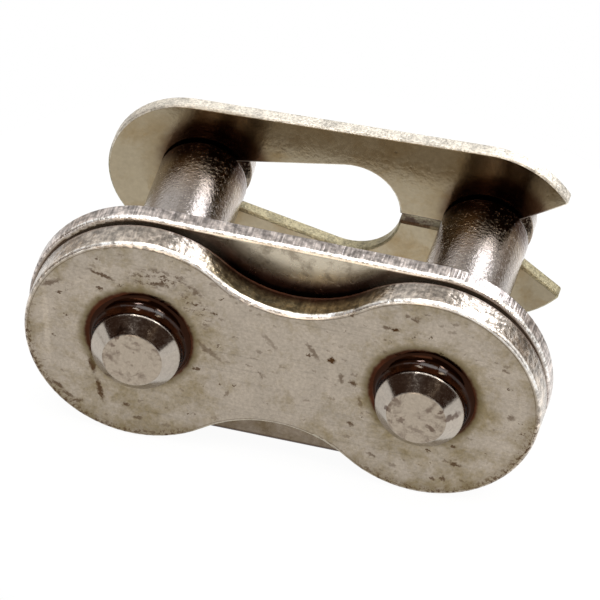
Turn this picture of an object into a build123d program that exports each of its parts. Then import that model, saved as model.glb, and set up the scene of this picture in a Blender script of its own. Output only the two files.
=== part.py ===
from build123d import *
from math import cos, radians, sin, tan
import os

# Spring-clip connecting link for a half-inch pitch roller chain, in millimetres.
# X runs along the pitch, Y along the pins from the pin plate to the spring clip,
# and Z is up. The plates stand on their lower edges. The origin is the middle of
# the link's box, at the level of those lower edges.

# Chain
pitch = 12.70
inner_link_width = 9.55        # over the plates of the inner links that the pins carry
plate_height = 10.40

# Pins
pin_diameter = 3.98
pin_projection = 1.45          # of each pressed end, in front of the pin plate
pin_front_chamfer = 0.65
pin_rear_chamfer = 0.50
pin_head_length = 1.35         # behind the groove
groove_depth = 0.59

# Pin plate
pin_plate_thickness = 1.60
pin_plate_waist = 6.12         # height at the middle
pin_plate_roll = 0.25          # rounded rim on the punched side
pin_plate_edge_break = 0.20    # on the back
pin_hole_rim = 0.35            # rounded mouth of each pin hole

# Cover plate
cover_thickness = 1.05
cover_overhang = 0.10          # of each end, past the pin plate's
cover_stand_off = 0.16         # where the loose plate lies, from the pin plate at the pins' level
cover_lean = 1.6               # degrees, top away from the pin plate
cover_side_slip = 0.10         # taken up in its holes, away from the clip's fork
cover_hole_clearance = 0.12    # radial
cover_roll = 0.24              # rounded rim on the front
cover_edge_break = 0.15        # on the back and round the holes

# Spring clip
clip_thickness = 0.70
clip_front_gap = 0.20          # in the grooves, towards the cover plate
clip_rear_gap = 0.10           # in the grooves, towards the pin heads
clip_seat_clearance = 0.06     # radial, round the floor of each groove
clip_sag = 0.045               # how far it hangs down in that clearance
clip_heel_radius = 3.75
clip_heel_overhang = 4.32      # from the heel pin's axis to the closed end
clip_fork_radius = 4.41        # about the fork pin's axis
clip_eye_radius = 2.23
clip_eye_offset = 0.28         # from mid pitch towards the fork
clip_eye_taper = 11.5          # degrees, each side, from the eye down to the heel seat
clip_slit_width = 0.38
clip_throat_width = 1.80       # between the prongs, behind the fork pin
clip_mouth_angle = 34.0        # degrees, each side
clip_tip_round = 0.18
clip_edge_break = 0.09

# Worked out from the sizes above
pin_radius = pin_diameter / 2
groove_radius = pin_radius - groove_depth
groove_width = clip_front_gap + clip_thickness + clip_rear_gap
groove_start = pin_projection + pin_plate_thickness + inner_link_width + cover_thickness
pin_length = groove_start + groove_width + pin_head_length
lobe_radius = plate_height / 2
axis_height = plate_height / 2
half_pitch = pitch / 2
cover_length = pitch + plate_height + 2 * cover_overhang

pin_front = -pin_length / 2
pin_plate_front = pin_front + pin_projection
cover_front = pin_plate_front + pin_plate_thickness + cover_stand_off
clip_front = pin_front + groove_start + clip_front_gap

pins = {"pin_left": -half_pitch, "pin_right": half_pitch}


def blank(outline, front, thickness):
    """Extrude an outline, drawn in X and Z about the pins' level, from front towards +Y."""
    face_plane = Plane(origin=(0, front, axis_height), x_dir=(1, 0, 0), z_dir=(0, -1, 0))
    return extrude(face_plane * outline, amount=-thickness)


def rim(solid, y, inside):
    """Edges of the flat face at y: its outer loop, or the loops of its holes."""
    face = solid.faces().filter_by(Plane.XZ).sort_by(lambda f: abs(f.center().Y - y))[0]
    if inside:
        return [edge for wire in face.inner_wires() for edge in wire.edges()]
    return face.outer_wire().edges()


def pin(x):
    """A turned pin: chamfered ends, and the clip's groove behind a short head."""
    groove_end = groove_start + groove_width
    profile = Polyline(
        (0, 0),
        (pin_radius - pin_front_chamfer, 0),
        (pin_radius, pin_front_chamfer),
        (pin_radius, groove_start),
        (groove_radius, groove_start),
        (groove_radius, groove_end),
        (pin_radius, groove_end),
        (pin_radius, pin_length - pin_rear_chamfer),
        (pin_radius - pin_rear_chamfer, pin_length),
        (0, pin_length),
        close=True,
    )
    turned = revolve(make_face(profile), axis=Axis.Y)
    return Pos(x, pin_front, axis_height) * turned


def waisted_outline():
    """Two lobes about the pins, joined by hollow flanks tangent to both."""
    waist = pin_plate_waist / 2
    flank_radius = (half_pitch**2 + waist**2 - lobe_radius**2) / (2 * (lobe_radius - waist))
    flank_centre = waist + flank_radius
    reach = lobe_radius / (lobe_radius + flank_radius)
    touch_x = half_pitch * (1 - reach)
    touch_z = flank_centre * reach
    end_x = half_pitch + lobe_radius
    outline = [
        ThreePointArc((-touch_x, touch_z), (0, waist), (touch_x, touch_z)),
        ThreePointArc((touch_x, touch_z), (end_x, 0), (touch_x, -touch_z)),
        ThreePointArc((touch_x, -touch_z), (0, -waist), (-touch_x, -touch_z)),
        ThreePointArc((-touch_x, -touch_z), (-end_x, 0), (-touch_x, touch_z)),
    ]
    return make_face(outline)


def pin_plate():
    """The pressed plate that carries both pins."""
    outline = waisted_outline()
    for x in pins.values():
        outline -= Pos(x, 0) * Circle(pin_radius)
    plate = blank(outline, pin_plate_front, pin_plate_thickness)
    back = pin_plate_front + pin_plate_thickness
    plate = fillet(rim(plate, pin_plate_front, inside=False), pin_plate_roll)
    plate = fillet(rim(plate, pin_plate_front, inside=True), pin_hole_rim)
    return chamfer(rim(plate, back, inside=False), pin_plate_edge_break)


def cover_plate():
    """The loose, straight-sided plate, which slides along the pins and leans in its clearance."""
    outline = SlotOverall(cover_length, plate_height)
    for x in pins.values():
        outline -= Pos(x, 0) * Circle(pin_radius + cover_hole_clearance)
    plate = blank(outline, cover_front, cover_thickness)
    back = cover_front + cover_thickness
    plate = fillet(rim(plate, cover_front, inside=False), cover_roll)
    plate = chamfer(rim(plate, cover_front, inside=True), cover_edge_break)
    plate = chamfer(rim(plate, back, inside=False), cover_edge_break)
    hinge_line = Axis((0, cover_front, axis_height), (1, 0, 0))
    plate = plate.rotate(hinge_line, -cover_lean)
    lowest = min(corner.Z for corner in plate.vertices())
    return Pos(-cover_side_slip, 0, -lowest) * plate


def clip_outline():
    """A tapering loop: heel seat, neck, eye, slit, fork seat and flared mouth."""
    heel_x = -half_pitch - clip_heel_overhang + clip_heel_radius
    fork_x = half_pitch
    seat_radius = groove_radius + clip_seat_clearance
    heel = Pos(heel_x, 0) * Circle(clip_heel_radius)
    fork = Pos(fork_x, 0) * Circle(clip_fork_radius)
    outline = make_hull(heel.edges() + fork.edges())

    eye_x = clip_eye_offset
    touch_x = eye_x - clip_eye_radius * sin(radians(clip_eye_taper))
    touch_z = clip_eye_radius * cos(radians(clip_eye_taper))
    neck_z = touch_z - (touch_x + half_pitch) * tan(radians(clip_eye_taper))
    neck = Polygon((touch_x, touch_z), (-half_pitch, neck_z), (-half_pitch, -neck_z),
                   (touch_x, -touch_z), align=None)
    slit = Pos((eye_x + fork_x) / 2, 0) * Rectangle(fork_x - eye_x, clip_slit_width)

    throat = clip_throat_width / 2
    throat_x = fork_x + (seat_radius**2 - throat**2) ** 0.5
    mouth_x = fork_x + clip_fork_radius
    mouth_z = throat + (mouth_x - throat_x) * tan(radians(clip_mouth_angle))
    mouth = Polygon((fork_x, throat), (throat_x, throat), (mouth_x, mouth_z),
                    (mouth_x, -mouth_z), (throat_x, -throat), (fork_x, -throat), align=None)

    outline -= Pos(-half_pitch, 0) * Circle(seat_radius)
    outline -= neck
    outline -= Pos(eye_x, 0) * Circle(clip_eye_radius)
    outline -= slit
    outline -= Pos(fork_x, 0) * Circle(seat_radius)
    outline -= mouth
    tips = outline.vertices().sort_by(Axis.X)[-2:]
    return fillet(tips, clip_tip_round)


def spring_clip():
    """The sprung clip that sits in the pins' grooves and keeps the cover plate on."""
    clip = blank(clip_outline(), clip_front, clip_thickness)
    front_rim = rim(clip, clip_front, inside=False)
    back_rim = rim(clip, clip_front + clip_thickness, inside=False)
    clip = chamfer(front_rim + back_rim, clip_edge_break)
    return Pos(0, 0, -clip_sag) * clip


os.makedirs("parts", exist_ok=True)
nodes = {"pin_plate": pin_plate(), "cover_plate": cover_plate(), "spring_clip": spring_clip()}
for name, x in pins.items():
    nodes[name] = pin(x)
for name, solid in nodes.items():
    export_step(solid, f"parts/{name}.step")
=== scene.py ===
import math

import bmesh
import bpy
from mathutils import Matrix, Vector


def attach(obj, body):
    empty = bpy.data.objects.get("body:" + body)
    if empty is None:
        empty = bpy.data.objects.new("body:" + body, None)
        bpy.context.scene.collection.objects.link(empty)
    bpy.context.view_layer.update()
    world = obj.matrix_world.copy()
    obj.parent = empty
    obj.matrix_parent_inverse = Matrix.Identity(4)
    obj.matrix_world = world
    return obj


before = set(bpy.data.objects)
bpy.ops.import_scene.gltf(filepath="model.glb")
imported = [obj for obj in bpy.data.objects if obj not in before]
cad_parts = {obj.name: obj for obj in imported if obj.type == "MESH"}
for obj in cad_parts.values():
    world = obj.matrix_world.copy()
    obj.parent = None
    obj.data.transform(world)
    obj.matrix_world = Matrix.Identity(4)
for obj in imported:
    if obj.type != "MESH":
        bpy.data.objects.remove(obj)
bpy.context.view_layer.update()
mm = 0.001


def linearColour(code, gain=1.0):
    # sRGB hex to the linear values that the shaders work in
    parts = [int(code[i:i + 2], 16) / 255.0 for i in (1, 3, 5)]
    parts = [p / 12.92 if p <= 0.04045 else ((p + 0.055) / 1.055) ** 2.4 for p in parts]
    return tuple(p * gain for p in parts) + (1.0,)


def addNode(tree, kind, links=(), **settings):
    # links holds plain values, nodes or sockets, by input name or in the order of the inputs in use
    made = tree.nodes.new("ShaderNode" + kind)
    for name, value in settings.items():
        setattr(made, name, value)
    if isinstance(links, dict):
        pairs = [(made.inputs[name], value) for name, value in links.items()]
    else:
        pairs = zip([socket for socket in made.inputs if socket.enabled], links)
    for socket, value in pairs:
        if isinstance(value, bpy.types.Node):
            value = next(output for output in value.outputs if output.enabled)
        if isinstance(value, bpy.types.NodeSocket):
            tree.links.new(value, socket)
        else:
            socket.default_value = value
    return made


def newMaterial(name):
    material = bpy.data.materials.new(name)
    material.use_nodes = True
    material.node_tree.nodes.clear()
    return material, material.node_tree


def pointAt(azimuth, elevation, distance):
    # azimuth 0 is behind the link (+Y), 90 is to its right (+X)
    a, e = math.radians(azimuth), math.radians(elevation)
    return Vector((math.sin(a) * math.cos(e), math.cos(a) * math.cos(e), math.sin(e))) * distance


# camera
cameraSet = {
    "azimuth": 9.387,  # degrees, towards +X from straight in front
    "elevation": 37.372,
    "roll": 5.730,
    "aim": (-0.474, -0.581, 4.546),  # mm, what lies at the middle of the picture
    "viewWidth": 26.224,  # mm across the picture at the aim
    "lens": 1400.0,  # mm, long, so that the link's far end is hardly smaller
    "sensor": 36.0,
    "clip": (0.5, 10.0),  # nearest and farthest that it sees, in distances to the aim
}


def addCamera():
    azimuth, elevation, roll = (math.radians(cameraSet[k]) for k in ("azimuth", "elevation", "roll"))
    away = math.cos(elevation)
    back = Vector((math.sin(azimuth) * away, -math.cos(azimuth) * away, math.sin(elevation)))
    level = Vector((math.cos(azimuth), math.sin(azimuth), 0.0))
    upright = back.cross(level)
    right = level * math.cos(roll) + upright * math.sin(roll)
    up = back.cross(right)
    distance = cameraSet["viewWidth"] * mm * cameraSet["lens"] / cameraSet["sensor"]
    data = bpy.data.cameras.new("camera")
    data.lens = cameraSet["lens"]
    data.sensor_width = cameraSet["sensor"]
    data.clip_start, data.clip_end = (distance * times for times in cameraSet["clip"])
    camera = bpy.data.objects.new("camera", data)
    bpy.context.scene.collection.objects.link(camera)
    camera.location = Vector(cameraSet["aim"]) * mm + back * distance
    turn = Matrix((right, up, back)).transposed()
    camera.rotation_mode = "QUATERNION"
    camera.rotation_quaternion = turn.to_quaternion()
    bpy.context.scene.camera = camera


addCamera()
print("camera placed")

# studio: a round of white paper, soft boxes, and cloths, most of them dark, for the metal to mirror
studioSet = {
    "distance": 300.0,  # mm from the link to the boxes
    "centre": (0.0, 0.0, 5.0),  # mm, what the boxes and cloths stand round
    "paperRadius": 21.0,
    "paperSides": 128,
    "paperDrop": 0.005,  # mm under the link, so that the two don't share a plane
    "paperColour": "#dedbd6",
    "paperWhite": 1.02,
    "whiteToCamera": 0.93,  # share of the paper that shows as plain white
    "whiteInMetal": 0.80,  # the same, as the metal sees it
    "paperGlow": (-6.0, 14.0, 0.95, 1.50),  # as the metal sees it: mm along paperTowards, how bright at each
    "paperTowards": (0.45, 0.9, 0.0),
    "softBoxes": {  # azimuth, elevation, width and height in degrees, radiance, colour
        "boxRearRight": (21.0, 27.0, 18.0, 23.0, 5.0, "#f4f7ff"),
        "boxHighRight": (80.0, 60.0, 56.0, 18.0, 2.6, "#ffffff"),
        "boxTop": (0.0, 86.0, 40.0, 34.0, 2.2, "#ffffff"),
        "lampLeft": (-141.0, 61.0, 14.0, 7.0, 20.0, "#ffffff"),
        "lampRight": (129.0, 52.0, 12.0, 7.0, 16.0, "#fff0dc"),
    },
    "wattsForRadiance": 4.0,  # an area lamp's watts for each unit of radiance and area
    "clothGrid": (24, 16),  # faces across and up
    "cloths": {  # azimuth from and to, elevation from and to, radiance, distance in mm, colour
        "clothFront": (104.0, 262.0, 3.0, 84.0, 0.05, 360.0, "#ffc4a6"),
        "clothFrontLow": (183.0, 201.0, 4.0, 30.0, 2.60, 320.0, "#fff0e0"),
        "clothFrontMiddle": (183.0, 201.0, 30.0, 42.0, 0.22, 320.0, "#ffe6cc"),
        "clothFrontLeft": (181.0, 220.0, 3.0, 38.0, 0.45, 330.0, "#ffe0c4"),
        "clothFrontRight": (142.0, 181.0, 3.0, 40.0, 0.12, 330.0, "#ffcda6"),
        "clothLeft": (-98.0, -68.0, -16.0, 38.0, 0.35, 360.0, "#fff0e0"),
        "clothRear": (-20.0, 6.0, 31.0, 42.0, 0.45, 360.0, "#fff4ea"),
        "clothRearLeft": (-50.0, -26.0, -14.0, 4.0, 0.55, 360.0, "#fff0e0"),
        "clothRearRight": (12.0, 50.0, -8.0, 9.0, 0.30, 360.0, "#ffe6cc"),
    },
}


def addSoftBox(name, azimuth, elevation, width, height, radiance, colour):
    distance = studioSet["distance"] * mm
    data = bpy.data.lights.new(name, "AREA")
    data.shape = "RECTANGLE"
    data.size = 2.0 * distance * math.tan(math.radians(width / 2.0))
    data.size_y = 2.0 * distance * math.tan(math.radians(height / 2.0))
    data.energy = radiance * data.size * data.size_y * studioSet["wattsForRadiance"]
    data.color = linearColour(colour)[:3]
    box = bpy.data.objects.new(name, data)
    bpy.context.scene.collection.objects.link(box)
    place = pointAt(azimuth, elevation, distance) + Vector(studioSet["centre"]) * mm
    turn = Matrix.Rotation(math.radians(-azimuth), 4, "Z")
    tip = Matrix.Rotation(math.radians(elevation - 90.0), 4, "X")
    box.matrix_world = Matrix.Translation(place) @ turn @ tip
    box.visible_camera = False


def addCloth(name, left, right, bottom, top, radiance, distance, colour):
    # hangs round the link and shows in the metal alone
    centre = Vector(studioSet["centre"]) * mm
    across, up = studioSet["clothGrid"]
    spots = []
    for j in range(up + 1):
        elevation = bottom + (top - bottom) * j / up
        for i in range(across + 1):
            azimuth = left + (right - left) * i / across
            spots.append(centre + pointAt(azimuth, elevation, distance * mm))
    faces = []
    for j in range(up):
        for i in range(across):
            k = j * (across + 1) + i
            faces.append((k, k + 1, k + across + 2, k + across + 1))
    mesh = bpy.data.meshes.new(name)
    mesh.from_pydata(spots, [], faces)
    material, tree = newMaterial(name)
    glow = addNode(tree, "Emission", {"Color": linearColour(colour), "Strength": radiance})
    addNode(tree, "OutputMaterial", {"Surface": glow})
    mesh.materials.append(material)
    cloth = bpy.data.objects.new(name, mesh)
    bpy.context.scene.collection.objects.link(cloth)
    cloth.visible_camera = False
    cloth.visible_diffuse = False
    cloth.visible_shadow = False


def addPaper():
    mesh = bpy.data.meshes.new("paper")
    build = bmesh.new()
    sides, radius = studioSet["paperSides"], studioSet["paperRadius"] * mm
    bmesh.ops.create_circle(build, cap_ends=True, segments=sides, radius=radius)
    build.to_mesh(mesh)
    build.free()
    paper = bpy.data.objects.new("paper", mesh)
    bpy.context.scene.collection.objects.link(paper)
    paper.location = (0.0, 0.0, -studioSet["paperDrop"] * mm)
    material, tree = newMaterial("whitePaper")
    ray = addNode(tree, "LightPath")
    seen = ray.outputs["Is Camera Ray"]
    bounced = (ray.outputs["Is Glossy Ray"], ray.outputs["Is Transmission Ray"])
    mirrored = addNode(tree, "Math", bounced, operation="MAXIMUM")
    mirrored = addNode(tree, "Math", (mirrored, studioSet["whiteInMetal"]), operation="MULTIPLY")
    share = addNode(tree, "Math", (seen, studioSet["whiteToCamera"], mirrored), operation="MULTIPLY_ADD")
    matt = addNode(tree, "BsdfDiffuse", {"Color": linearColour(studioSet["paperColour"])})
    where = addNode(tree, "TexCoord").outputs["Object"]
    rearward = addNode(tree, "VectorMath", (where, studioSet["paperTowards"]), operation="DOT_PRODUCT")
    start, end, startGlow, endGlow = studioSet["paperGlow"]
    glow = addNode(tree, "MapRange", (rearward, start * mm, end * mm, startGlow, endGlow))
    glow = addNode(tree, "Mix", (seen, glow, studioSet["paperWhite"]), data_type="FLOAT")
    white = addNode(tree, "Emission", {"Color": (1, 1, 1, 1), "Strength": glow})
    both = addNode(tree, "MixShader", (share, matt, white))
    addNode(tree, "OutputMaterial", {"Surface": both})
    mesh.materials.append(material)


def addWorld():
    world = bpy.data.worlds.new("studio")
    world.use_nodes = True
    tree = world.node_tree
    tree.nodes.clear()
    sky = addNode(tree, "Background", {"Color": (1, 1, 1, 1), "Strength": 1.0})
    addNode(tree, "OutputWorld", {"Surface": sky})
    bpy.context.scene.world = world


addWorld()
addPaper()
for name, values in studioSet["softBoxes"].items():
    addSoftBox(name, *values)
for name, values in studioSet["cloths"].items():
    addCloth(name, *values)
print("studio ready")

# metals; a range in the sets below is where it starts and ends, and how much there is at each (else 0 and 1)
linkSet = {  # mm, where things lie on the link
    "pinSide": 6.35,  # each pin's axis from the middle
    "pinHeight": 5.2,
    "plateFront": -6.55,  # along Y, the pin plate's front face
    "markDepth": 0.5,  # along Y, how deep a mark reaches into the metal
    "waistCentre": 13.96,  # height of the centre of the waist's upper curve
    "slitHeight": 5.14,
}


def placeInMm(tree):
    # the place of each point in millimetres, the same for every view and pose, and the way it faces
    where = addNode(tree, "TexCoord")
    scaled = addNode(tree, "VectorMath", (where.outputs["Object"], 1.0 / mm), operation="SCALE")
    return scaled, where.outputs["Normal"]


def faceShare(tree, normal, low=0.70, high=0.95):
    # 1 on the flat faces, which look along Y, and 0 on the edges
    parts = addNode(tree, "SeparateXYZ", (normal,))
    size = addNode(tree, "Math", (parts.outputs["Y"],), operation="ABSOLUTE")
    return addNode(tree, "MapRange", (size, low, high), interpolation_type="SMOOTHSTEP")


def fromPinAxis(tree, place):
    # distance in mm from the axis of the nearer pin
    parts = addNode(tree, "SeparateXYZ", (place,))
    side = addNode(tree, "Math", (parts.outputs["X"],), operation="ABSOLUTE")
    side = addNode(tree, "Math", (side, linkSet["pinSide"]), operation="SUBTRACT")
    up = addNode(tree, "Math", (parts.outputs["Z"], linkSet["pinHeight"]), operation="SUBTRACT")
    flat = addNode(tree, "CombineXYZ", (side, up))
    return addNode(tree, "VectorMath", (flat,), operation="LENGTH"), parts


def raggedPlace(tree, place, amount, size):
    # the same place, pushed about a little, so that outlines drawn with it aren't clean
    wobble = addNode(tree, "TexNoise", {"Vector": place, "Scale": 1.0 / size, "Detail": 3.0})
    middle = (0.5, 0.5, 0.5)
    shift = addNode(tree, "VectorMath", (wobble.outputs["Color"], middle), operation="SUBTRACT")
    shift = addNode(tree, "VectorMath", (shift, amount), operation="SCALE")
    return addNode(tree, "VectorMath", (place, shift), operation="ADD")


def pitShare(tree, place, spacing, size, few):
    # scattered pits: one in some of the cells, each of its own size and depth of colour
    cells = addNode(tree, "TexVoronoi", {"Vector": place, "Scale": 1.0 / spacing})
    chance = addNode(tree, "SeparateColor", (cells.outputs["Color"],))
    reach = addNode(tree, "MapRange", (chance.outputs["Red"], few, 1.0, 0.0, size / spacing))
    pit = addNode(tree, "Math", (reach, cells.outputs["Distance"]), operation="SUBTRACT")
    faint, dark = 0.25, 0.85
    depth = addNode(tree, "MapRange", (chance.outputs["Green"], 0.0, 1.0, faint, dark))
    outside, inside = -0.02, 0.04  # shares of a cell over which a pit's rim fades
    return addNode(tree, "MapRange", (pit, outside, inside, 0.0, depth))


def fromMark(tree, place, x, z, halfLength, halfWidth, slope):
    # distance from the middle of an oval on the pin plate's front, 1 at its outline
    near = addNode(tree, "Mapping", {
        "Vector": place,
        "Location": (x, linkSet["plateFront"], z),
        "Rotation": (0.0, math.radians(-slope), 0.0),
        "Scale": (halfLength, linkSet["markDepth"], halfWidth),
    }, vector_type="TEXTURE")
    return addNode(tree, "VectorMath", (near,), operation="LENGTH")


def markShare(tree, place, marks):
    # where a mark lies: 0 on clean metal, up to the mark's depth of colour
    clean, full = 1.7, 0.8  # its border fades between these, in half sizes of the mark
    total = None
    for *oval, depth in marks:
        spot = addNode(tree, "MapRange", (fromMark(tree, place, *oval), clean, full, 0.0, depth))
        total = spot if total is None else addNode(tree, "Math", (total, spot), operation="MAXIMUM")
    return total


def metalSurface(tree, p, colour, metallic, dull, relief, strength):
    # what every metal piece ends in: its relief, over slightly rounded edges
    rounded = addNode(tree, "Bevel", {"Radius": p["edgeRounding"] * mm}, samples=4)
    depth = p["reliefDepth"] * mm
    bump = {"Height": relief, "Distance": depth, "Strength": strength, "Normal": rounded}
    bump = addNode(tree, "Bump", bump)
    metal = {"Base Color": colour, "Metallic": metallic, "Roughness": dull, "Normal": bump}
    metal = addNode(tree, "BsdfPrincipled", metal)
    addNode(tree, "OutputMaterial", {"Surface": metal})


plateWear = {  # what the two plates share
    "ragged": (0.16, 0.25),  # mm that outlines wander, and the length that they do it over
    "torn": (0.34, 0.12),
    "cloud": {"Scale": 1.0 / 1.3, "Detail": 6.0, "Roughness": 0.62},  # 1.3 mm, dull and bright plating
    "cloudTone": (0.3, 0.7, 0.90, 1.07),  # of a noise, what it multiplies the colour by at each end
    "grain": {"Scale": 1.0 / 0.16, "Detail": 3.0, "Roughness": 0.65},  # 0.16 mm, rolled strip
    "grainTone": (0.3, 0.7, 0.83, 1.12),
    "hairs": ((0.5, 10.5), (-0.9, 13.0), (1.3, 8.5)),  # hair scratches: slope in radians, how close they lie
    "hairLength": 0.22,  # the less, the longer
    "hairTone": (0.65, 0.74, 1.0, 0.90),
    "rubGain": 0.28,  # how much brighter a rubbed streak is
    "film": {"Scale": 0.85, "Detail": 9.0, "Roughness": 0.74, "Distortion": 0.25},  # 1.2 mm, dried oil
    "lobe": (3.0, 4.4),  # mm from the middle, where the waist ends and a lobe begins
    "filmNearPin": (2.3, 3.9, 0.17, 0.0),  # mm from the pin's axis
    "filmNearRim": (4.2, 5.1, 0.0, 0.13),
    "filmLow": (3.4, 0.5, 0.0, 0.13),  # mm up, the plate is browner towards the bottom
    "wet": (0.50, 0.76, 0.0, 0.80),  # of the film's noise with the three above added to it
    "rollFrom": (0.10, 0.35),  # how flat the metal is where the roll, painted bright as a highlight, begins and ends: 1 is a face
    "rollTo": (0.92, 0.97, 1.0, 0.0),
    "rollLean": 0.3,  # the roll's painted highlight lies on the upper side, and a little more so to the right
    "rollUpper": (0.30, 0.55, 0.05, 1.0),
    "rear": (0.6, 0.8, 0.0, 0.9),  # how squarely it looks back, towards +Y
    "waistFade": (0.85, 0.0),  # painted shade: the waist's edge is tinted darker, gone on faces and lobes
    "tearStretch": 0.08,  # the less, the straighter the tears run across the sheared edge
    "tears": {"Detail": 2.0, "Roughness": 0.55},
    "tearRange": (0.38, 0.62),
    "lumps": {"Scale": 2.4, "Detail": 2.5, "Roughness": 0.55},  # 0.4 mm
    "patches": {"Scale": 3.2, "Detail": 4.0, "Roughness": 0.6},  # 0.3 mm
    "patchTone": (0.38, 0.62, 0.55, 1.38),
    "edgeTone": (1.18, 0.70),  # painted shade on the sheared edge: lighter at the front face, darker towards the gap
    "pitFew": 0.45,  # share of the cells that have no pit
    "flecks": (0.7, 0.55, 1.3),  # a second lot of pits: slope in radians, closeness along and across it
    "fleckSize": (0.55, 1.05, 0.18),  # their spacing and size beside the first lot's, share with none
    "chatter": (1.2, 0.5, 0.0, 0.8),  # half sizes of the patch
    "dashStretch": (2.6, 1.0, 8.0),
    "dashes": {"Scale": 1.0, "Detail": 2.0, "Roughness": 0.6},
    "dashRange": (0.535, 0.60),
    "rim": (4.60, 5.02, 0.0, 0.95),  # mm from the pin's axis, dirt and painted shade along the lower rims
    "rimBelow": (6.4, 4.6),  # mm up
    "rimPatchy": (0.47, 0.58),
    "rimBorder": (0.2, 0.8, 0.22, 1.0),  # how flat the metal is
    "seamWidth": (0.025, 0.008),  # how much less or more flat than the seam's middle
    "stainDepth": 0.75,
    "stainGain": 0.6,  # the stain is the film's colour, darkened to this
    "shadeDepth": 0.95,
    "shadeTone": (0.35, 0.65, 0.6, 1.7),
    "mouth": (2.28, 2.18, 0.0, 0.7),  # mm from the pin's axis, the rounded mouth of its hole, painted dark brown and not metal: oil and painted shade
    "offFace": (0.995, 0.97, 0.0, 0.9),  # how flat the metal is
    "gapRim": (4.7, 4.9, 0.0, 0.9),  # mm from the pin's axis, rims of the faces in the gap
    "dull": (0.35, 0.7),  # of the cloud noise, from the brightest plating to the dullest
    "dirtRoughness": 0.45,
    "grainRelief": 0.25,
    "waistLumps": 0.6,  # of the lumps that the lobes' edges have
    "faceRelief": 0.25,  # of the edge's
}
pinPlateSet = {
    "colour": "#a89d8f",
    "filmColour": "#7c6d4c",  # tea coloured film of dried oil
    "shadeColour": "#35170c",  # thick oil in corners, and painted shade round the pins and at the waist
    # painted shade in the gap between the plates
    "gapShadeColour": "#4c3120",
    "mouthColour": "#452c1c",
    # dirt, and also the painted shade along the lower rims and the seam
    "dirtColour": "#4a331d",
    "edgeColour": "#b3a89c",
    "rollHighlightColour": "#f6f0e8",  # painted highlight along the roll's upper side
    # painted shade: a darker olive on the waist's edge
    "waistColour": "#968d70",
    "roughness": (0.05, 0.14),  # of the brightest plating and the dullest
    "edgeRoughness": 0.24,
    "rollRoughness": 0.36,
    "pitSpacing": 0.75,
    "pitSize": 0.11,
    "shadeReach": (2.36, 2.54, 2.80),  # mm from the pin's axis: full, edge of the dark ring of oil and painted shade, edge of its stain
    "shadeShift": (-0.04, 0.17),  # mm, the painted shade and reflection of the pin sit that far off the pin's middle, above it
    "tearSpacing": 0.15,  # mm between the lines that the punch leaves across the sheared edge
    "tearTone": (0.78, 1.12),
    "tearRelief": 0.4,
    "lumpRelief": 2.4,
    "seam": (0.966, 0.55),  # painted shade: a dark line between roll and face; how flat the metal is there, depth of colour
    "gap": (-5.30, -5.14),  # mm along Y, painted shade lies in the gap between the plates from here
    "waistShade": (-5.85, -5.35, 0.0, 0.9),  # mm along Y, painted shade on the rear of the waist's edge
    "edgeFade": (-6.3, -5.2),  # mm along Y, the edge is painted darker towards the gap, as shade
    "edgeRounding": 0.05,  # mm
    "reliefDepth": 0.03,  # mm
    "marks": [  # x, z, half length and half width in mm, slope in degrees, depth of colour
        (-8.32, 8.37, 0.46, 0.07, -14.0, 0.85),
        (-8.34, 3.44, 0.36, 0.10, -74.0, 0.95),
        (-7.89, 2.14, 0.46, 0.09, -71.0, 0.9),
        (-6.70, 1.61, 0.12, 0.08, 20.0, 0.8),
        (2.16, 6.25, 0.13, 0.13, 60.0, 1.0),
        (3.18, 5.24, 0.15, 0.10, -30.0, 0.85),
        (2.66, 5.39, 0.20, 0.08, -78.0, 0.65),
        (1.29, 6.53, 0.36, 0.08, -52.0, 0.6),
        (-0.62, 6.58, 0.40, 0.09, -44.0, 0.4),
        (-3.30, 5.45, 0.62, 0.10, -36.0, 0.5),
        (4.82, 8.57, 0.13, 0.07, 0.0, 1.0),
        (4.45, 8.63, 0.16, 0.06, 10.0, 0.7),
        (3.23, 3.05, 0.14, 0.07, -30.0, 0.8),
        (8.02, 1.98, 0.20, 0.08, -8.0, 0.85),
        (7.08, 0.97, 0.09, 0.09, 0.0, 0.75),
        (7.56, 1.09, 0.09, 0.09, 0.0, 0.75),
        (5.28, 9.45, 0.09, 0.07, 0.0, 0.6),
        (5.65, 9.32, 0.14, 0.07, -30.0, 0.7),
        (10.30, 5.10, 0.14, 0.12, 40.0, 0.6),
        (9.82, 7.56, 0.13, 0.07, -20.0, 0.6),
        (-10.51, 7.41, 0.36, 0.10, 28.0, 0.65),
        (-4.10, 8.40, 0.14, 0.09, 60.0, 0.6),
        (-3.41, 5.41, 0.10, 0.07, 0.0, 0.6),
        (-9.75, 1.95, 0.24, 0.08, -35.0, 0.8),
        (-9.30, 1.55, 0.20, 0.07, -20.0, 0.7),
        (-8.90, 1.30, 0.26, 0.07, 15.0, 0.7),
        (-2.30, 3.30, 0.16, 0.05, 70.0, 0.5),
        (-0.90, 4.70, 0.20, 0.05, -60.0, 0.5),
        (3.60, 4.30, 0.22, 0.06, -75.0, 0.5),
        (4.30, 1.60, 0.18, 0.06, -10.0, 0.6),
        (-6.10, 1.05, 0.16, 0.06, 5.0, 0.6),
    ],
    "rubs": [  # bright rubbed streaks, in the same way
        (-10.52, 5.15, 1.45, 0.11, -82.0, 0.55),
        (-8.90, 8.10, 0.9, 0.10, 40.0, 0.3),
    ],
    "chatter": [  # small dashes left by handling: x, z and half sizes of the patch, its slope and the dashes'
        (-5.75, 8.75, 1.5, 0.55, 8.0, -28.0),
        (-4.05, 7.75, 1.35, 0.55, -62.0, -20.0),
    ],
}
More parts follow.
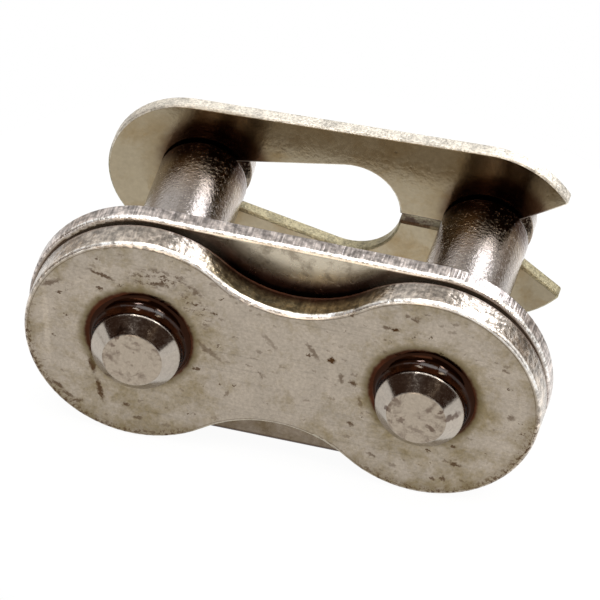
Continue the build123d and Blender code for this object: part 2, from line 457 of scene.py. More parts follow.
coverSet = {
    "colour": "#b2a798",
    "filmColour": "#7c6f55",
    # oil and painted shade round the pins, and painted shadow above the pin plate's waist
    "shadeColour": "#3d1c0c",
    # painted shade in the gap between the plates
    "gapShadeColour": "#4c3120",
    "mouthColour": "#452c1c",
    # dirt, and also the painted shade along the lower rims and the seam
    "dirtColour": "#4a331d",
    "edgeColour": "#c6bcb6",
    # painted highlight along the roll's upper side
    "rollHighlightColour": "#faf4ec",
    "rearColour": "#dfd5c4",  # of the face towards the clip, painted lighter than the front so that its reflection in the clip is brighter
    "frontHighlightColour": "#e4dac4",  # painted highlight on the front just above the pin plate's waist, standing in for reflected light
    "roughness": (0.06, 0.15),
    "edgeRoughness": 0.30,
    "rollRoughness": 0.36,
    "pitSpacing": 0.8,
    "pitSize": 0.10,
    "shadeReach": (2.40, 2.60, 2.90),
    "shadeShift": (0.0, 0.0),
    "tearSpacing": 0.11,
    "tearTone": (0.58, 1.28),
    "tearRelief": 1.0,
    "lumpRelief": 0.9,
    "seam": (0.985, 0.8),
    "gap": (-4.62, -4.84),
    "waistShade": None,
    "front": (-4.5, -4.7),  # mm along Y, only the front face takes the painted shadow and highlight above the waist
    "aboveWaist": (6.6, 6.0),  # mm from the waist's centre, as far up as the painted shadow goes
    "waistShadow": (5.25, 5.60, 0.0, 0.7),  # the same, painted shadow just above the pin plate's waist
    "frontHighlight": (5.45, 5.00, 0.0, 0.80),  # the same, where the front is painted brighter as a reflection
    "smears": (0.50, 0.62, 0.0, 0.75),
    "edgeFade": (-4.8, -3.6),
    "edgeRounding": 0.04,
    "reliefDepth": 0.03,
    "marks": [],
    "rubs": [],
    "chatter": [],
}


def hairScratches(tree, place, tone):
    # lots of fine scratches, each lot drawn out along its own slope
    wear = plateWear
    for turn, closeness in wear["hairs"]:
        stretch = (wear["hairLength"], wear["hairLength"], closeness)
        hair = {"Vector": place, "Rotation": (0.0, turn, 0.0), "Scale": stretch}
        hair = addNode(tree, "Mapping", hair)
        hair = addNode(tree, "TexNoise", {"Vector": hair, "Scale": 1.0, "Detail": 1.0})
        hair = addNode(tree, "MapRange", (hair, *wear["hairTone"]))
        tone = addNode(tree, "Math", (tone, hair), operation="MULTIPLY")
    return tone


def platePits(tree, p, ragged, torn):
    # round pits, and slanted flecks between them
    wear = plateWear
    slope, along, across = wear["flecks"]
    flecks = {"Vector": torn, "Rotation": (0.0, slope, 0.0), "Scale": (along, 1.0, across)}
    flecks = addNode(tree, "Mapping", flecks)
    spacing, size, few = wear["fleckSize"]
    flecks = pitShare(tree, flecks, p["pitSpacing"] * spacing, p["pitSize"] * size, few)
    pits = pitShare(tree, ragged, p["pitSpacing"], p["pitSize"], wear["pitFew"])
    return addNode(tree, "Math", (pits, flecks), operation="MAXIMUM")


def dashShare(tree, ragged, torn, x, z, halfLength, halfWidth, slope, dashSlope):
    # an oval patch of small dashes
    wear = plateWear
    patch = fromMark(tree, ragged, x, z, halfLength, halfWidth, slope)
    patch = addNode(tree, "MapRange", (patch, *wear["chatter"]))
    turn = (0.0, math.radians(dashSlope), 0.0)
    dashes = {"Vector": torn, "Rotation": turn, "Scale": wear["dashStretch"]}
    dashes = addNode(tree, "Mapping", dashes)
    dashes = addNode(tree, "TexNoise", {"Vector": dashes, **wear["dashes"]})
    dashes = addNode(tree, "MapRange", (dashes, *wear["dashRange"]))
    return addNode(tree, "Math", (dashes, patch), operation="MULTIPLY")


def shearedEdge(tree, p, place, along, lobe):
    # tone and relief of the edge: tears across it, lumps, and patches of light and dark
    wear = plateWear
    tears = {"Vector": place, "Scale": (1.0, wear["tearStretch"], 1.0)}
    tears = addNode(tree, "Mapping", tears)
    tears = {"Vector": tears, "Scale": 1.0 / p["tearSpacing"], **wear["tears"]}
    tears = addNode(tree, "TexNoise", tears)
    patches = addNode(tree, "TexNoise", {"Vector": place, **wear["patches"]})
    patches = addNode(tree, "MapRange", (patches, *wear["patchTone"]))
    # painted shade: the edge darkens towards the gap between the plates
    fade = addNode(tree, "MapRange", (along, *p["edgeFade"], *wear["edgeTone"]))
    tone = addNode(tree, "MapRange", (tears, *wear["tearRange"], *p["tearTone"]))
    for share in (patches, fade):
        tone = addNode(tree, "Math", (tone, share), operation="MULTIPLY")
    lumps = addNode(tree, "TexNoise", {"Vector": place, **wear["lumps"]})
    least = p["lumpRelief"] * wear["waistLumps"]
    height = addNode(tree, "MapRange", (lobe, 0.0, 1.0, least, p["lumpRelief"]))
    relief = addNode(tree, "Math", (tears, p["tearRelief"]), operation="MULTIPLY")
    relief = addNode(tree, "Math", (lumps, height, relief), operation="MULTIPLY_ADD")
    return tone, relief


def fromWaist(tree, place):
    # distance in mm from the centre of the waist's upper curve
    centre = (0.0, 0.0, linkSet["waistCentre"])
    far = addNode(tree, "VectorMath", (place, centre), operation="SUBTRACT")
    far = addNode(tree, "VectorMath", (far, (1.0, 0.0, 1.0)), operation="MULTIPLY")
    return addNode(tree, "VectorMath", (far,), operation="LENGTH")


def platedPlate(name, p):
    # nickel plated mild steel, pressed from strip: nearly mirrors, with edges torn by the punch
    material, tree = newMaterial(name)
    wear = plateWear
    place, normal = placeInMm(tree)
    face = faceShare(tree, normal)
    facing = addNode(tree, "SeparateXYZ", (normal,))
    flatness = addNode(tree, "Math", (facing.outputs["Y"],), operation="ABSOLUTE")
    ragged = raggedPlace(tree, place, *wear["ragged"])
    torn = raggedPlace(tree, place, *wear["torn"])
    radius, parts = fromPinAxis(tree, ragged)
    trueRadius, trueParts = fromPinAxis(tree, place)
    cloud = addNode(tree, "TexNoise", {"Vector": place, **wear["cloud"]})
    grain = addNode(tree, "TexNoise", {"Vector": place, **wear["grain"]})
    film = addNode(tree, "TexNoise", {"Vector": place, **wear["film"]})
    lobe = addNode(tree, "Math", (parts.outputs["X"],), operation="ABSOLUTE")
    lobe = addNode(tree, "MapRange", (lobe, *wear["lobe"]))
    # oil film in clouds, round the pins and along the rims of the lobes; the plate is browner towards the
    # bottom
    nearPin = addNode(tree, "MapRange", (radius, *wear["filmNearPin"]))
    nearRim = addNode(tree, "MapRange", (radius, *wear["filmNearRim"]))
    nearRim = addNode(tree, "Math", (nearRim, lobe), operation="MULTIPLY")
    low = addNode(tree, "MapRange", (parts.outputs["Z"], *wear["filmLow"]))
    wet = film
    for more in (nearPin, nearRim, low):
        wet = addNode(tree, "Math", (wet, more), operation="ADD")
    wet = addNode(tree, "MapRange", (wet, *wear["wet"]))
    filmed = linearColour(p["filmColour"])
    colour = addNode(tree, "Mix", (wet, linearColour(p["colour"]), filmed), data_type="RGBA")
    # tone of the faces, with hair scratches and rubbed streaks
    tone = addNode(tree, "MapRange", (cloud, *wear["cloudTone"]))
    fine = addNode(tree, "MapRange", (grain, *wear["grainTone"]))
    tone = addNode(tree, "Math", (tone, fine), operation="MULTIPLY")
    tone = hairScratches(tree, ragged, tone)
    if p["rubs"]:
        rubbed = (markShare(tree, ragged, p["rubs"]), wear["rubGain"], 1.0)
        rubbed = addNode(tree, "Math", rubbed, operation="MULTIPLY_ADD")
        tone = addNode(tree, "Math", (tone, rubbed), operation="MULTIPLY")
    # the sheared edge, between two rolls whose upper sides are painted bright as a highlight
    rollTo = addNode(tree, "MapRange", (flatness, *wear["rollTo"]))
    upper = (facing.outputs["X"], wear["rollLean"], facing.outputs["Z"])
    upper = addNode(tree, "Math", upper, operation="MULTIPLY_ADD")
    upper = addNode(tree, "MapRange", (upper, *wear["rollUpper"]))
    roll = addNode(tree, "MapRange", (flatness, *wear["rollFrom"]))
    for share in (rollTo, upper):
        roll = addNode(tree, "Math", (roll, share), operation="MULTIPLY")
    if "rearColour" in p:
        rear = addNode(tree, "MapRange", (facing.outputs["Y"], *wear["rear"]))
        colour = addNode(tree, "Mix", (rear, colour, linearColour(p["rearColour"])), data_type="RGBA")
    colour = addNode(tree, "Mix", (face, linearColour(p["edgeColour"]), colour), data_type="RGBA")
    # painted shade: the waist's edge is darker olive than the lobes' edges
    if p["waistShade"]:
        olive = addNode(tree, "Math", (face, lobe), operation="MAXIMUM")
        olive = addNode(tree, "MapRange", (olive, 0.0, 1.0, *wear["waistFade"]))
        colour = addNode(tree, "Mix", (olive, colour, linearColour(p["waistColour"])), data_type="RGBA")
    colour = addNode(tree, "Mix", (roll, colour, linearColour(p["rollHighlightColour"])), data_type="RGBA")
    edgeTone, edgeRelief = shearedEdge(tree, p, place, parts.outputs["Y"], lobe)
    tone = addNode(tree, "Mix", (face, edgeTone, tone), data_type="FLOAT")
    colour = addNode(tree, "VectorMath", (colour, tone), operation="SCALE")
    # pits, marks and dashes, dirt and painted shade along the lower rims, and a painted dark line of shade at
    # the seam
    pits = platePits(tree, p, ragged, torn)
    pits = addNode(tree, "Math", (pits, face), operation="MULTIPLY")
    spots = [markShare(tree, torn, p["marks"])] if p["marks"] else []
    spots += [dashShare(tree, ragged, torn, *patch) for patch in p["chatter"]]
    below = addNode(tree, "MapRange", (parts.outputs["Z"], *wear["rimBelow"]))
    patchy = addNode(tree, "MapRange", (grain, *wear["rimPatchy"]))
    border = addNode(tree, "MapRange", (flatness, *wear["rimBorder"]))
    rim = addNode(tree, "MapRange", (radius, *wear["rim"]))
    for share in (below, patchy, lobe, border):
        rim = addNode(tree, "Math", (rim, share), operation="MULTIPLY")
    # painted shade: a dark line along the seam between roll and face
    flatAtSeam, seamDepth = p["seam"]
    seam = addNode(tree, "Math", (flatness, flatAtSeam), operation="SUBTRACT")
    seam = addNode(tree, "Math", (seam,), operation="ABSOLUTE")
    seam = addNode(tree, "MapRange", (seam, *wear["seamWidth"], 0.0, seamDepth))
    dirtAndShade = pits
    for spot in (*spots, rim, seam):
        dirtAndShade = addNode(tree, "Math", (dirtAndShade, spot), operation="MAXIMUM")
    colour = addNode(tree, "Mix", (dirtAndShade, colour, linearColour(p["dirtColour"])), data_type="RGBA")
    # thick oil and painted shade round the pins, with a stain outside it; painted shade in the gap between
    # the plates
    shift = (p["shadeShift"][0], 0.0, p["shadeShift"][1])
    shifted = addNode(tree, "VectorMath", (ragged, shift), operation="SUBTRACT")
    shadeRadius = fromPinAxis(tree, shifted)[0]
    full, edge, stainEdge = p["shadeReach"]
    stain = addNode(tree, "MapRange", (shadeRadius, stainEdge, edge, 0.0, wear["stainDepth"]))
    stainColour = linearColour(p["filmColour"], wear["stainGain"])
    colour = addNode(tree, "Mix", (stain, colour, stainColour), data_type="RGBA")
    oil = (shadeRadius, edge, full, 0.0, wear["shadeDepth"])
    oil = addNode(tree, "MapRange", oil, interpolation_type="SMOOTHSTEP")
    shadeColour = addNode(tree, "MapRange", (cloud, *wear["shadeTone"]))
    shadeColour = (linearColour(p["shadeColour"])[:3], shadeColour)
    shadeColour = addNode(tree, "VectorMath", shadeColour, operation="SCALE")
    colour = addNode(tree, "Mix", (oil, colour, shadeColour), data_type="RGBA")
    mouth = addNode(tree, "MapRange", (trueRadius, *wear["mouth"]))
    colour = addNode(tree, "Mix", (mouth, colour, linearColour(p["mouthColour"])), data_type="RGBA")
    gapRim = addNode(tree, "MapRange", (trueRadius, *wear["gapRim"]))
    gapRim = addNode(tree, "Math", (gapRim, lobe), operation="MULTIPLY")
    reached = addNode(tree, "MapRange", (flatness, *wear["offFace"]))
    reached = addNode(tree, "Math", (reached, gapRim), operation="MAXIMUM")
    gap = addNode(tree, "MapRange", (trueParts.outputs["Y"], *p["gap"]))
    gap = addNode(tree, "Math", (gap, reached), operation="MULTIPLY")
    colour = addNode(tree, "Mix", (gap, colour, linearColour(p["gapShadeColour"])), data_type="RGBA")
    # painted shade at the waist: on the rear of its edge, and on the cover just above it, where the cover's
    # front is also painted brighter as a reflection
    if p["waistShade"]:
        waist = addNode(tree, "MapRange", (parts.outputs["Y"], *p["waistShade"]))
        side = addNode(tree, "Math", (1.0, face), operation="SUBTRACT")
    else:
        far = fromWaist(tree, ragged)
        front = addNode(tree, "MapRange", (trueParts.outputs["Y"], *p["front"]))
        # painted reflection: the cover's front above the waist is lighter
        frontHighlight = addNode(tree, "MapRange", (far, *p["frontHighlight"]))
        frontHighlight = addNode(tree, "Math", (frontHighlight, front), operation="MULTIPLY")
        colour = addNode(tree, "Mix", (frontHighlight, colour, linearColour(p["frontHighlightColour"])), data_type="RGBA")
        smears = addNode(tree, "MapRange", (film, *p["smears"]))
        smears = addNode(tree, "Math", (smears, frontHighlight), operation="MULTIPLY")
        colour = addNode(tree, "Mix", (smears, colour, linearColour(p["dirtColour"])), data_type="RGBA")
        # painted shadow on the cover just above the pin plate's waist
        waist = addNode(tree, "MapRange", (far, *p["waistShadow"]))
        side = addNode(tree, "MapRange", (far, *p["aboveWaist"]))
        side = addNode(tree, "Math", (side, front), operation="MULTIPLY")
    middle = addNode(tree, "Math", (1.0, lobe), operation="SUBTRACT")
    for share in (middle, side):
        waist = addNode(tree, "Math", (waist, share), operation="MULTIPLY")
    colour = addNode(tree, "Mix", (waist, colour, shadeColour), data_type="RGBA")
    # roughness; the gap and the hole's mouth, painted dark brown as shade, are not metal
    dull = addNode(tree, "MapRange", (cloud, *wear["dull"], *p["roughness"]))
    dull = addNode(tree, "Mix", (face, p["edgeRoughness"], dull), data_type="FLOAT")
    dull = addNode(tree, "Mix", (roll, dull, p["rollRoughness"]), data_type="FLOAT")
    dull = addNode(tree, "Mix", (dirtAndShade, dull, wear["dirtRoughness"]), data_type="FLOAT")
    bare = addNode(tree, "Math", (gap, mouth), operation="MAXIMUM")
    bare = addNode(tree, "Math", (1.0, bare), operation="SUBTRACT")
    # relief
    faceRelief = addNode(tree, "Math", (grain, wear["grainRelief"]), operation="MULTIPLY")
    faceRelief = addNode(tree, "Math", (faceRelief, pits), operation="SUBTRACT")
    relief = addNode(tree, "Mix", (face, edgeRelief, faceRelief), data_type="FLOAT")
    strength = addNode(tree, "Mix", (face, 1.0, wear["faceRelief"]), data_type="FLOAT")
    metalSurface(tree, p, colour, bare, dull, relief, strength)
    return material


pinSet = {
    "colour": "#9e9690",
    "chamferColour": "#b0a79c",  # peened bright
    "endColour": "#a79b8c",
    # dirt, and also the oil and painted shade at the clip
    "dirtColour": "#43281a",
    # the darker film painted as shade along the pin towards the clip
    "shadeColour": "#8a7048",
    "roughness": (0.08, 0.18),  # between the pits and in them
    "chamferDull": 0.045,  # added on the front chamfer
    "edgeRounding": 0.10,
    "reliefDepth": 0.02,
    "ragged": (0.2, 0.25),  # mm that outlines wander, and the length that they do it over
    "torn": (0.4, 0.15),
    "end": (0.85, 0.97),  # how squarely the metal looks along the pin
    "pits": {"Scale": 1.0 / 0.17, "Detail": 4.0, "Roughness": 0.7},  # 0.17 mm
    "pitTone": (0.3, 0.7, 0.84, 1.10),
    "pitDull": (0.45, 0.75),
    "cloud": {"Scale": 1.3, "Detail": 6.0, "Roughness": 0.68, "Distortion": 0.6},  # 0.8 mm
    "cloudDirt": (0.50, 0.64, 0.0, 0.6),
    "nicks": (0.45, 0.09, 0.5),  # spacing and size in mm, share of the cells that have none
    "dents": (0.15, 0.085, 0.25),
    "grit": {"Scale": 6.5, "Detail": 0.0},  # 0.15 mm
    "gritRelief": 0.55,
    # mm along Y, from the front of the pin to its rear
    "endFace": -7.36,  # the scuffs lie in front of this
    "chamfer": (-7.25, -7.40),
    "corner": (-6.55, -6.40, 0.0, 0.8),  # oil against the pin plate
    "cornerEnd": (-4.8, -4.6, 1.0, 0.0),
    "worn": (-4.9, -3.5, 0.05, 0.9),  # the pits lie thickest on the bearing length, towards the clip
    # painted shade towards the clip: a darker film, then oil and painted shade at the clip
    "film": (1.5, 4.6, 0.0, 0.55),
    "clipOilAndShade": (4.2, 5.1, 0.0, 0.88),
    "pastClip": (5.85, 6.15, 1.0, 0.12),
    "scuffs": [  # x, z, half length and half width in mm, slope in degrees, depth of colour
        (-6.98, 6.58, 0.20, 0.08, 30.0, 0.6),
        (-7.10, 6.30, 0.14, 0.06, 80.0, 0.7),
        (-6.65, 6.55, 0.22, 0.06, -20.0, 0.5),
        (-7.25, 5.79, 0.10, 0.09, 0.0, 0.6),
        (-6.05, 4.50, 0.22, 0.04, 30.0, 0.4),
        (5.05, 5.39, 0.12, 0.10, 0.0, 0.75),
        (7.85, 5.45, 0.26, 0.12, 15.0, 0.7),
        (7.03, 4.80, 0.20, 0.09, -40.0, 0.7),
        (5.68, 4.90, 0.16, 0.10, 40.0, 0.6),
        (7.39, 5.77, 0.12, 0.08, 60.0, 0.7),
        (5.37, 5.93, 0.14, 0.10, 0.0, 0.6),
        (6.40, 4.55, 0.30, 0.10, -15.0, 0.4),
    ],
}


def polishedPin(name):
    # nickel plated hardened steel, turned and tumbled: bright sides with small pits, scuffed ends
    material, tree = newMaterial(name)
    p = pinSet
    place, normal = placeInMm(tree)
    ragged = raggedPlace(tree, place, *p["ragged"])
    torn = raggedPlace(tree, place, *p["torn"])
    along = addNode(tree, "SeparateXYZ", (ragged,)).outputs["Y"]
    trueAlong = addNode(tree, "SeparateXYZ", (place,)).outputs["Y"]
    end = faceShare(tree, normal, *p["end"])
    # smears, nicks and scuffs on the ends
    pits = addNode(tree, "TexNoise", {"Vector": place, **p["pits"]})
    cloud = addNode(tree, "TexNoise", {"Vector": ragged, **p["cloud"]})
    smears = addNode(tree, "MapRange", (cloud, *p["cloudDirt"]))
    smears = addNode(tree, "Math", (smears, end), operation="MULTIPLY")
    nicks = pitShare(tree, ragged, *p["nicks"])
    nicks = addNode(tree, "Math", (nicks, end), operation="MULTIPLY")
    flat = addNode(tree, "VectorMath", (torn, (1.0, 0.0, 1.0)), operation="MULTIPLY")
    flat = addNode(tree, "VectorMath", (flat, (0.0, linkSet["plateFront"], 0.0)), operation="ADD")
    front = addNode(tree, "Math", (trueAlong, p["endFace"]), operation="LESS_THAN")
    scuffs = (markShare(tree, flat, p["scuffs"]), front)
    scuffs = addNode(tree, "Math", scuffs, operation="MULTIPLY")
    # oil held in the corner against the pin plate; at the clip, oil and painted shade, with a painted darker
    # film of shade before that
    corner = addNode(tree, "MapRange", (along, *p["corner"]))
    cornerEnd = addNode(tree, "MapRange", (along, *p["cornerEnd"]))
    corner = addNode(tree, "Math", (corner, cornerEnd), operation="MULTIPLY")
    pastClip = addNode(tree, "MapRange", (along, *p["pastClip"]))
    clipOilAndShade = addNode(tree, "MapRange", (along, *p["clipOilAndShade"]))
    clipOilAndShade = addNode(tree, "Math", (clipOilAndShade, pastClip), operation="MULTIPLY")
    film = addNode(tree, "MapRange", (along, *p["film"]))
    film = addNode(tree, "Math", (film, pastClip), operation="MULTIPLY")
    dirtAndShade = smears
    for spot in (nicks, scuffs, corner, clipOilAndShade):
        dirtAndShade = addNode(tree, "Math", (dirtAndShade, spot), operation="MAXIMUM")
    # colour
    chamfer = addNode(tree, "MapRange", (along, *p["chamfer"]))
    peened = linearColour(p["chamferColour"])
    colour = addNode(tree, "Mix", (chamfer, linearColour(p["colour"]), peened), data_type="RGBA")
    colour = addNode(tree, "Mix", (film, colour, linearColour(p["shadeColour"])), data_type="RGBA")
    colour = addNode(tree, "Mix", (end, colour, linearColour(p["endColour"])), data_type="RGBA")
    tone = addNode(tree, "MapRange", (pits, *p["pitTone"]))
    colour = addNode(tree, "VectorMath", (colour, tone), operation="SCALE")
    colour = addNode(tree, "Mix", (dirtAndShade, colour, linearColour(p["dirtColour"])), data_type="RGBA")
    dull = addNode(tree, "MapRange", (pits, *p["pitDull"], *p["roughness"]))
    dull = addNode(tree, "Math", (chamfer, p["chamferDull"], dull), operation="MULTIPLY_ADD")
    # relief
    worn = addNode(tree, "MapRange", (along, *p["worn"]))
    dents = pitShare(tree, ragged, *p["dents"])
    grit = addNode(tree, "TexNoise", {"Vector": place, **p["grit"]})
    relief = addNode(tree, "Math", (grit, p["gritRelief"], pits), operation="MULTIPLY_ADD")
    relief = addNode(tree, "Math", (relief, nicks), operation="SUBTRACT")
    relief = addNode(tree, "Math", (dents, -1.0, relief), operation="MULTIPLY_ADD")
    metalSurface(tree, p, colour, 1.0, dull, relief, worn)
    return material


clipSet = {
    "colour": "#a0947d",
    "tintColour": "#8a7450",  # straw tint left by tempering
    # painted shade and reflection of the pins, above them and in the slit
    "shadeColour": "#381c0e",
    "dirtColour": "#3a2c1a",
    "edgeColour": "#e0d9cc",
    "lowEdgeShadeColour": "#9c9377",
    "edgeHeight": (4.9, 6.2),  # mm up, from the low edges, painted darker as shade, to the upper edges
    "roughness": (0.05, 0.14),  # of the smoothest steel and the dullest
    "edgeRoughness": 0.48,
    "edgeRounding": 0.08,
    "reliefDepth": 0.03,
    "faceRelief": 0.12,  # of the edge's
    "ragged": (0.2, 0.25),  # mm that outlines wander, and the length that they do it over
    "cloud": {"Scale": 1.0 / 1.8, "Detail": 7.0, "Roughness": 0.66, "Distortion": 0.6},  # 1.8 mm
    "cloudTint": (0.45, 0.66, 0.0, 0.65),
    "grain": {"Scale": 1.0 / 0.2, "Detail": 4.0, "Roughness": 0.65},  # 0.2 mm
    "grainTone": (0.3, 0.7, 0.91, 1.07),
    "grainDull": (0.35, 0.7),
    "crumbs": {"Scale": 1.0 / 0.11, "Detail": 3.0, "Roughness": 0.65},  # 0.11 mm, on the torn edge
    "crumbTone": (0.36, 0.58, 0.64, 1.10),
    "patches": {"Scale": 1.6, "Detail": 4.0, "Roughness": 0.6},  # 0.6 mm
    "patchTone": (0.35, 0.55, 0.75, 1.05),
    "patchRelief": 2.0,
    "prongTone": (6.5, 8.5, 1.0, 0.68),  # mm along X, the face is darker on the prongs
    "pits": (0.7, 0.09, 0.55),  # spacing and size in mm, share of the cells that have none
    "shadeReach": (2.1, 2.85, 3.5),  # mm from the pin's axis, of the painted shade and reflection above each pin
    "shadeShift": (0.42, 0.80),  # mm, the painted shade sits that far off the pin's middle, up and to the right
    "shadeSide": (6.05, 5.95),  # mm along Y, the painted shade lies on the side towards the plates
    "shadeDepth": 0.86,
    "stainDepth": 0.35,
    "stainGain": 0.8,  # the stain round the painted shade is the tint's colour, darkened to this
    "slit": (2.3, 5.2, 0.34),  # x of its two ends and half height
    "slitFade": (0.2, 0.1),  # mm past its ends, and above and below it
    "slitDepth": 0.9,
    "slitBroken": (0.42, 0.56, 0.25, 1.0),
}


def springClipSteel(name):
    # nickel plated spring steel: smooth and slightly straw coloured, its edges bright and crumbly
    material, tree = newMaterial(name)
    p = clipSet
    place, normal = placeInMm(tree)
    face = faceShare(tree, normal)
    ragged = raggedPlace(tree, place, *p["ragged"])
    parts = addNode(tree, "SeparateXYZ", (place,))
    cloud = addNode(tree, "TexNoise", {"Vector": ragged, **p["cloud"]})
    grain = addNode(tree, "TexNoise", {"Vector": place, **p["grain"]})
    crumbs = addNode(tree, "TexNoise", {"Vector": place, **p["crumbs"]})
    patches = addNode(tree, "TexNoise", {"Vector": place, **p["patches"]})
    # colour of the face and of the edge, the low edges painted darker as shade
    tint = addNode(tree, "MapRange", (cloud, *p["cloudTint"]))
    straw = linearColour(p["tintColour"])
    colour = addNode(tree, "Mix", (tint, linearColour(p["colour"]), straw), data_type="RGBA")
    height = addNode(tree, "MapRange", (parts.outputs["Z"], *p["edgeHeight"]))
    edgeColour = (height, linearColour(p["lowEdgeShadeColour"]), linearColour(p["edgeColour"]))
    edgeColour = addNode(tree, "Mix", edgeColour, data_type="RGBA")
    colour = addNode(tree, "Mix", (face, edgeColour, colour), data_type="RGBA")
    tone = addNode(tree, "MapRange", (grain, *p["grainTone"]))
    prongs = addNode(tree, "SeparateXYZ", (ragged,))
    prongs = addNode(tree, "MapRange", (prongs.outputs["X"], *p["prongTone"]))
    tone = addNode(tree, "Math", (tone, prongs), operation="MULTIPLY")
    edgeTone = addNode(tree, "MapRange", (crumbs, *p["crumbTone"]))
    patchTone = addNode(tree, "MapRange", (patches, *p["patchTone"]))
    edgeTone = addNode(tree, "Math", (edgeTone, patchTone), operation="MULTIPLY")
    tone = addNode(tree, "Mix", (face, edgeTone, tone), data_type="FLOAT")
    colour = addNode(tree, "VectorMath", (colour, tone), operation="SCALE")
    pits = pitShare(tree, ragged, *p["pits"])
    pits = addNode(tree, "Math", (pits, face), operation="MULTIPLY")
    colour = addNode(tree, "Mix", (pits, colour, linearColour(p["dirtColour"])), data_type="RGBA")
    # painted shade and reflection of the pins, above them on the side towards the plates
    shift = (p["shadeShift"][0], 0.0, p["shadeShift"][1])
    shifted = addNode(tree, "VectorMath", (ragged, shift), operation="SUBTRACT")
    shadeRadius, shiftedParts = fromPinAxis(tree, shifted)
    inner = addNode(tree, "MapRange", (shiftedParts.outputs["Y"], *p["shadeSide"]))
    full, edge, stainEdge = p["shadeReach"]
    oil = (shadeRadius, edge, full, 0.0, p["shadeDepth"])
    oil = addNode(tree, "MapRange", oil, interpolation_type="SMOOTHSTEP")
    oil = addNode(tree, "Math", (oil, inner), operation="MULTIPLY")
    stain = addNode(tree, "MapRange", (shadeRadius, stainEdge, edge, 0.0, p["stainDepth"]))
    stain = addNode(tree, "Math", (stain, inner), operation="MULTIPLY")
    stainColour = linearColour(p["tintColour"], p["stainGain"])
    colour = addNode(tree, "Mix", (stain, colour, stainColour), data_type="RGBA")
    # painted shade in the slit, broken by bare patches
    left, right, halfHeight = p["slit"]
    halfLength = (right - left) / 2
    pastEnd, pastSide = p["slitFade"]
    within = addNode(tree, "Math", (parts.outputs["X"], (left + right) / 2), operation="SUBTRACT")
    within = addNode(tree, "Math", (within,), operation="ABSOLUTE")
    slit = addNode(tree, "MapRange", (within, halfLength + pastEnd, halfLength))
    level = addNode(tree, "Math", (parts.outputs["Z"], linkSet["slitHeight"]), operation="SUBTRACT")
    level = addNode(tree, "Math", (level,), operation="ABSOLUTE")
    level = addNode(tree, "MapRange", (level, halfHeight + pastSide, halfHeight, 0.0, p["slitDepth"]))
    edgeOnly = addNode(tree, "Math", (1.0, face), operation="SUBTRACT")
    broken = addNode(tree, "MapRange", (patches, *p["slitBroken"]))
    for share in (level, edgeOnly, broken):
        slit = addNode(tree, "Math", (slit, share), operation="MULTIPLY")
    oil = addNode(tree, "Math", (oil, slit), operation="MAXIMUM")
    colour = addNode(tree, "Mix", (oil, colour, linearColour(p["shadeColour"])), data_type="RGBA")
    dull = addNode(tree, "MapRange", (grain, *p["grainDull"], *p["roughness"]))
    dull = addNode(tree, "Mix", (face, p["edgeRoughness"], dull), data_type="FLOAT")
    # relief
    faceRelief = addNode(tree, "Math", (grain, pits), operation="SUBTRACT")
    edgeRelief = addNode(tree, "Math", (patches, p["patchRelief"], crumbs), operation="MULTIPLY_ADD")
    relief = addNode(tree, "Mix", (face, edgeRelief, faceRelief), data_type="FLOAT")
    strength = addNode(tree, "Mix", (face, 1.0, p["faceRelief"]), data_type="FLOAT")
    metalSurface(tree, p, colour, 1.0, dull, relief, strength)
    return material


beadSet = {
    "colour": "#220f06",
    "clots": {"Scale": 1.5, "Detail": 4.0, "Roughness": 0.6},  # 0.7 mm
    "clotTone": (0.35, 0.65, 0.35, 1.5),
    "skin": {"Scale": 1.0 / 0.2, "Detail": 2.0},  # 0.2 mm
    "skinGloss": (0.4, 0.7, 0.04, 0.16),
    "skinRelief": 0.5,
    "skinDepth": 0.01,  # mm
    "skirtColour": "#281409",
    "skirt": (-6.82, -6.66, 0.0, 0.92),  # mm along Y, from thick oil to thin
    "ior": 1.45,
    "pinRadius": 1.996,  # mm, just clear of the pin
    "plate": -6.552,  # mm along Y, just clear of the pin plate
    "reach": (0.13, 0.46),  # mm out from the pin, below it and above it
    "climb": (0.20, 0.70),  # mm along the pin
    "gather": 1.4,  # the more, the more of it lies above the pin
    "ripples": ((5.0, 1.0, 0.04), (9.0, 0.0, 0.03)),  # waves round the pin, their start, share of the reach
    "round": 96,
    "steps": 10,
}


def thickOil(name):
    # old oil dried to varnish: nearly black, glossy, with a skin that shows the lamps
    material, tree = newMaterial(name)
    p = beadSet
    place = placeInMm(tree)[0]
    clots = addNode(tree, "TexNoise", {"Vector": place, **p["clots"]})
    tone = addNode(tree, "MapRange", (clots, *p["clotTone"]))
    colour = addNode(tree, "VectorMath", (linearColour(p["colour"])[:3], tone), operation="SCALE")
    skin = addNode(tree, "TexNoise", {"Vector": place, **p["skin"]})
    gloss = addNode(tree, "MapRange", (skin, *p["skinGloss"]))
    bump = {"Height": skin, "Distance": p["skinDepth"] * mm, "Strength": p["skinRelief"]}
    bump = addNode(tree, "Bump", bump)
    # the thin skirt of it shows the plate through a brown film
    along = addNode(tree, "SeparateXYZ", (place,)).outputs["Y"]
    skirt = addNode(tree, "MapRange", (along, *p["skirt"]))
    colour = addNode(tree, "Mix", (skirt, colour, linearColour(p["skirtColour"])), data_type="RGBA")
    oil = {"Base Color": colour, "Metallic": skirt, "IOR": p["ior"], "Roughness": gloss, "Normal": bump}
    oil = addNode(tree, "BsdfPrincipled", oil)
    addNode(tree, "OutputMaterial", {"Surface": oil})
    return material


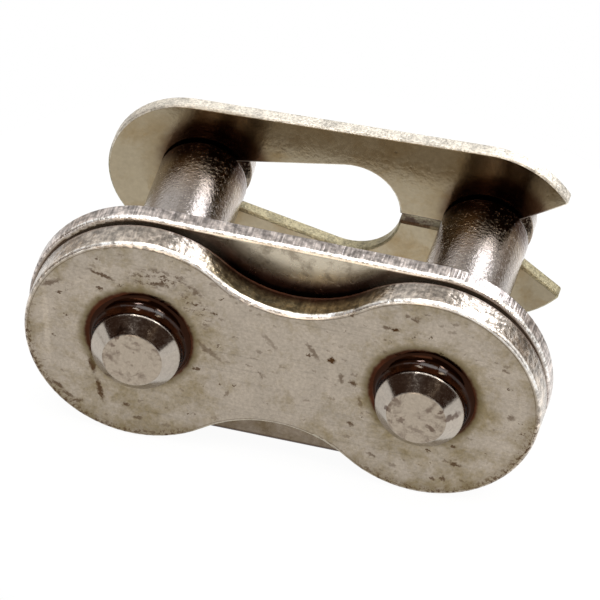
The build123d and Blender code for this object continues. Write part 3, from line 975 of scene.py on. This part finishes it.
def beadSection(turn):
    # the bead's outline at one place round the pin, 0 above it: distance from the axis and place along Y
    p = beadSet
    share = ((1.0 + math.cos(turn)) / 2.0) ** p["gather"]
    reach, climb = (low + (high - low) * share for low, high in (p["reach"], p["climb"]))
    reach *= 1.0 + sum(size * math.sin(waves * turn + start) for waves, start, size in p["ripples"])
    corner = (p["pinRadius"], p["plate"])
    outline = []
    for j in range(p["steps"] + 1):
        a = math.pi / 2.0 * j / p["steps"]
        outline.append((corner[0] + reach * (1.0 - math.sin(a)), corner[1] - climb * (1.0 - math.cos(a))))
    return outline + [corner]


def addBead(name, centreX, material):
    # a ring of oil that fills the corner between a pin and the pin plate, thickest above the pin
    build = bmesh.new()
    rings = []
    for i in range(beadSet["round"]):
        turn = 2.0 * math.pi * i / beadSet["round"]
        ring = []
        for radius, y in beadSection(turn):
            x = centreX + radius * math.sin(turn)
            z = linkSet["pinHeight"] + radius * math.cos(turn)
            ring.append(build.verts.new((x * mm, y * mm, z * mm)))
        rings.append(ring)
    count = len(rings[0])
    sharp = (0, count - 2, count - 1)  # where it ends on the plate and on the pin, and their corner
    for here, there in zip(rings, rings[1:] + rings[:1]):
        for j in range(count):
            k = (j + 1) % count
            face = build.faces.new((here[j], here[k], there[k], there[j]))
            face.smooth = True
        for j in sharp:
            build.edges.get((here[j], there[j])).smooth = False
    bmesh.ops.recalc_face_normals(build, faces=build.faces)
    mesh = bpy.data.meshes.new(name)
    build.to_mesh(mesh)
    build.free()
    mesh.materials.append(material)
    bead = bpy.data.objects.new(name, mesh)
    bpy.context.scene.collection.objects.link(bead)
    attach(bead, "pin_link")


def dress(node, material):
    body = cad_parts[node]
    body.data.materials.clear()
    body.data.materials.append(material)


dress("pin_plate", platedPlate("nickelPlatedSteel", pinPlateSet))
dress("cover_plate", platedPlate("nickelPlatedCover", coverSet))
oil = thickOil("thickOil")
addBead("oilBeadLeft", -linkSet["pinSide"], oil)
addBead("oilBeadRight", linkSet["pinSide"], oil)
dress("spring_clip", springClipSteel("springClipSteel"))
pinNickel = polishedPin("polishedPinSteel")
dress("pin_left", pinNickel)
dress("pin_right", pinNickel)
print("metals on")

bpy.context.scene.view_settings.view_transform = "Standard"
